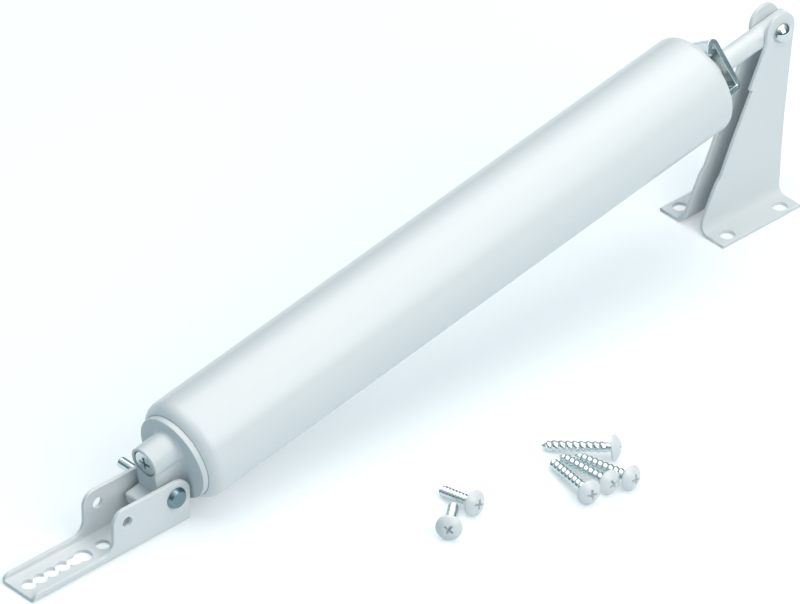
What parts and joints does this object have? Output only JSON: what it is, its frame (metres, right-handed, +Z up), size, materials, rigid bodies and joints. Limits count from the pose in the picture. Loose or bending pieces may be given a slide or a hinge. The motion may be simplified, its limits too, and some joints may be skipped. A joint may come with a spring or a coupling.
{
  "type": "pneumatic door closer",
  "caption": "Tube-type pneumatic closer for a light door: end cap on a channel bracket, piston rod pinned to an upright two-cheek bracket, hold-open washer and loose screws.",
  "frame": {"origin": "on the door bracket's base, straight under the door pin's axis", "axes": "+X along the tube towards the jamb bracket, +Z up from the plane that both brackets' bases share"},
  "size_m": [0.3632, 0.12, 0.0818],
  "materials": {
    "white_paint": "satin white powder coat",
    "bright_zinc": "bright zinc plate",
    "chrome": "polished",
    "grey_steel": "dull plated steel",
    "rubber": "matte",
    "nylon": "natural nylon"
  },
  "bodies": {
    "base": {"door_bracket": "white_paint"},
    "pin": {"door_pin": "grey_steel"},
    "closer": {"end_cap": "white_paint", "end_cap_seal": "rubber", "bumper": "rubber", "cylinder_tube": "white_paint", "return_spring": "grey_steel", "spring_seat": "bright_zinc", "rod_guide": "nylon", "guide_ring": "bright_zinc"},
    "speed_screw": {"adjusting_screw": "bright_zinc", "adjusting_screw_seal": "rubber"},
    "piston_rod": {"piston": "nylon", "piston_cup": "rubber", "piston_washer": "bright_zinc", "piston_nut": "bright_zinc", "rod": "white_paint"},
    "clip": {"hold_open_washer": "bright_zinc"},
    "jamb": {"jamb_bracket": "white_paint", "jamb_pin": "chrome"},
    "long_screws": {"jamb_screws": "bright_zinc"},
    "short_screws": {"door_screws": "bright_zinc"}
  },
  "joints": [
    {"name": "door_pivot", "type": "hinge", "parent": "base", "child": "closer", "pos_m": [0, 0, 0.0126], "axis": [0, -1, 0], "range_deg": [-9, 55]},
    {"name": "door_pin_slide", "type": "slide", "parent": "base", "child": "pin", "axis": [0, -1, 0], "range_m": [0, 0.03]},
    {"name": "speed_adjust", "type": "hinge", "parent": "closer", "child": "speed_screw", "pos_m": [-0.00712, 0, 0.0257], "axis": [0.9862, 0, 0.1658], "range_deg": [-180, 540]},
    {"name": "rod_slide", "type": "slide", "parent": "closer", "child": "piston_rod", "axis": [0.9862, 0, 0.1658], "range_m": [0, 0.125], "stiffness_N_per_m": 250, "springref_m": -0.12, "deforming": ["return_spring"]},
    {"name": "clip_slide", "type": "slide", "parent": "piston_rod", "child": "clip", "axis": [0.9862, 0, 0.1658], "range_m": [-0.0025, 0.005]},
    {"name": "jamb_pivot", "type": "hinge", "parent": "piston_rod", "child": "jamb", "pos_m": [0.29131, 0, 0.0697], "axis": [0, -1, 0], "range_deg": [-3, 100]},
    {"name": "long_screws_lift", "type": "slide", "parent": "base", "child": "long_screws", "axis": [0, 0, 1], "range_m": [0, 0.03]},
    {"name": "short_screws_lift", "type": "slide", "parent": "base", "child": "short_screws", "axis": [0, 0, 1], "range_m": [0, 0.03]}
  ]
}
